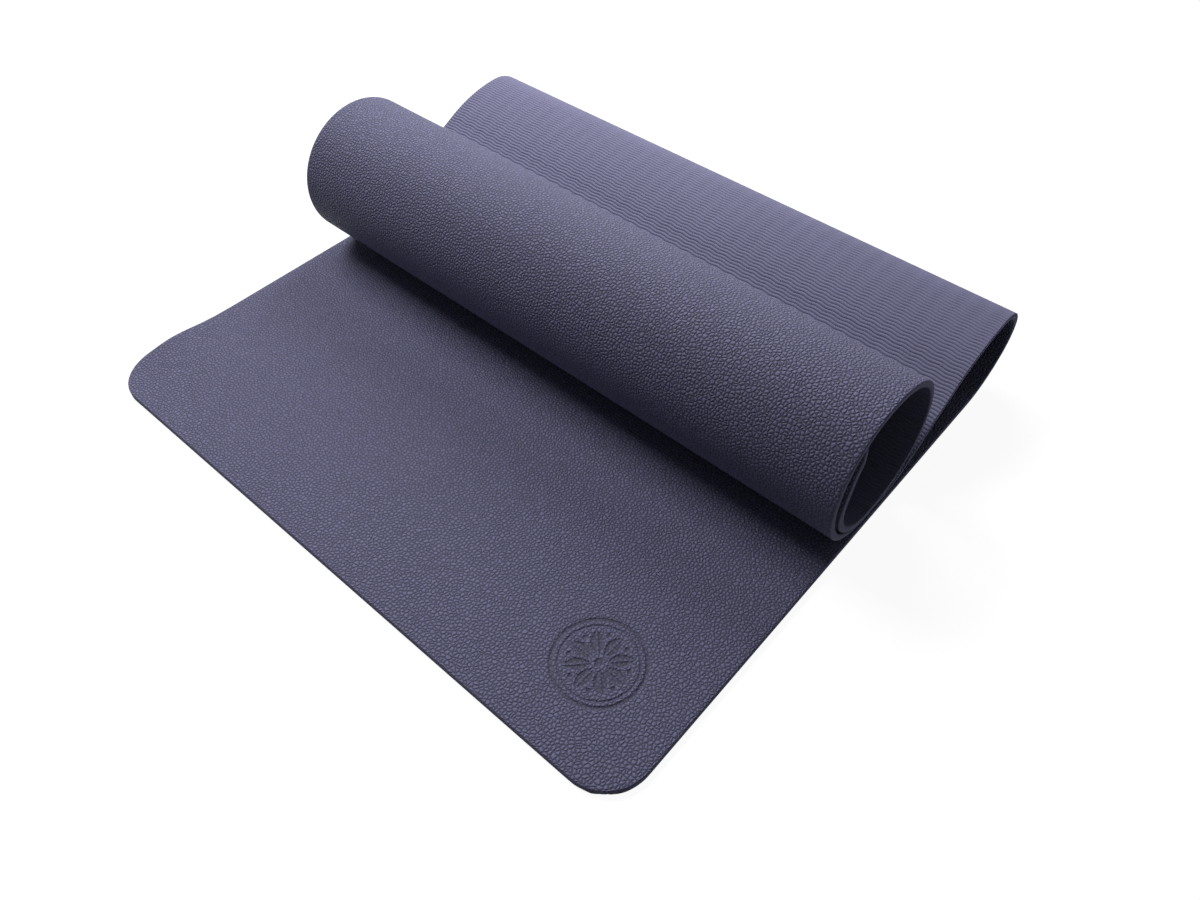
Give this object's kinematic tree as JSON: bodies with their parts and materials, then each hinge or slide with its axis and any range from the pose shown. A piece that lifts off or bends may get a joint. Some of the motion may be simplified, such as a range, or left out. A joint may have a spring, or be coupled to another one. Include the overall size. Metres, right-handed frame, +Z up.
{
  "type": "yoga mat",
  "caption": "Foam yoga mat, partly unrolled: a flat apron in front, a hollow roll lying on it and an open fold behind.",
  "frame": {"origin": "on the floor, straight below the axis of the roll, at half the mat's width", "axes": "+X along the roll, across the mat's width; +Y along the floor from the roll towards the fold behind it, so the front edge of the apron lies at -Y; +Z up from the floor"},
  "size_m": [0.61, 0.5485, 0.1463],
  "materials": {
    "grain_foam": "matt closed-cell foam with a leather grain, slate purple",
    "ribbed_foam": "matt closed-cell foam with wavy anti-slip ribs, slate purple"
  },
  "bodies": {
    "base": {"base_grain_layer": "grain_foam", "base_ribbed_layer": "ribbed_foam"},
    "apron_rear": {"apron_rear_grain_layer": "grain_foam", "apron_rear_ribbed_layer": "ribbed_foam"},
    "apron_middle": {"apron_middle_grain_layer": "grain_foam", "apron_middle_ribbed_layer": "ribbed_foam"},
    "apron_front": {"apron_front_grain_layer": "grain_foam", "apron_front_ribbed_layer": "ribbed_foam"},
    "back_bend": {"back_bend_grain_layer": "grain_foam", "back_bend_ribbed_layer": "ribbed_foam"},
    "top_bend": {"top_bend_grain_layer": "grain_foam", "top_bend_ribbed_layer": "ribbed_foam"},
    "leaf": {"leaf_grain_layer": "grain_foam", "leaf_ribbed_layer": "ribbed_foam"},
    "roll_front": {"roll_front_grain_layer": "grain_foam", "roll_front_ribbed_layer": "ribbed_foam"},
    "roll_shell": {"roll_shell_grain_layer": "grain_foam", "roll_shell_ribbed_layer": "ribbed_foam"},
    "inner_wall": {"inner_wall_grain_layer": "grain_foam", "inner_wall_ribbed_layer": "ribbed_foam"},
    "inner_tip": {"inner_tip_grain_layer": "grain_foam", "inner_tip_ribbed_layer": "ribbed_foam"}
  },
  "joints": [
    {"name": "apron_curl", "type": "hinge", "parent": "base", "child": "apron_rear", "pos_m": [0, -0.176, 0.006], "axis": [-1, 0, 0], "range_deg": [0, 40]},
    {"name": "apron_curl_middle", "type": "hinge", "parent": "apron_rear", "child": "apron_middle", "pos_m": [0, -0.221, 0.006], "axis": [-1, 0, 0], "range_deg": [0, 40]},
    {"name": "apron_curl_front", "type": "hinge", "parent": "apron_middle", "child": "apron_front", "pos_m": [0, -0.266, 0.006], "axis": [-1, 0, 0], "range_deg": [0, 40]},
    {"name": "fold_open", "type": "hinge", "parent": "base", "child": "back_bend", "pos_m": [0, 0.22286, 0.0225], "axis": [-1, 0, 0], "range_deg": [0, 40]},
    {"name": "fold_open_middle", "type": "hinge", "parent": "back_bend", "child": "top_bend", "pos_m": [0, 0.22862, 0.06628], "axis": [-1, 0, 0], "range_deg": [0, 40]},
    {"name": "fold_open_top", "type": "hinge", "parent": "top_bend", "child": "leaf", "pos_m": [0, 0.19139, 0.09], "axis": [-1, 0, 0], "range_deg": [0, 40]},
    {"name": "unroll", "type": "hinge", "parent": "leaf", "child": "roll_front", "pos_m": [0, -0.0412, 0.01965], "axis": [1, 0, 0], "range_deg": [0, 50]},
    {"name": "unroll_front", "type": "hinge", "parent": "roll_front", "child": "roll_shell", "pos_m": [0, -0.07, 0.0763], "axis": [1, 0, 0], "range_deg": [0, 40]},
    {"name": "inner_curl", "type": "hinge", "parent": "roll_shell", "child": "inner_wall", "pos_m": [0, -0.00115, 0.0186], "axis": [-1, 0, 0], "range_deg": [0, 20], "stiffness_Nm_per_rad": 0.05},
    {"name": "inner_curl_tip", "type": "hinge", "parent": "inner_wall", "child": "inner_tip", "pos_m": [0, -0.0477, 0.0993], "axis": [-1, 0, 0], "range_deg": [0, 25]}
  ],
  "couplings": [
    {"joint": "apron_curl_middle", "follows": "apron_curl", "ratio": 1},
    {"joint": "apron_curl_front", "follows": "apron_curl", "ratio": 1},
    {"joint": "fold_open_middle", "follows": "fold_open", "ratio": 1},
    {"joint": "fold_open_top", "follows": "fold_open", "ratio": 1},
    {"joint": "unroll_front", "follows": "unroll", "ratio": 0.8},
    {"joint": "inner_curl_tip", "follows": "inner_curl", "ratio": 1.25}
  ]
}
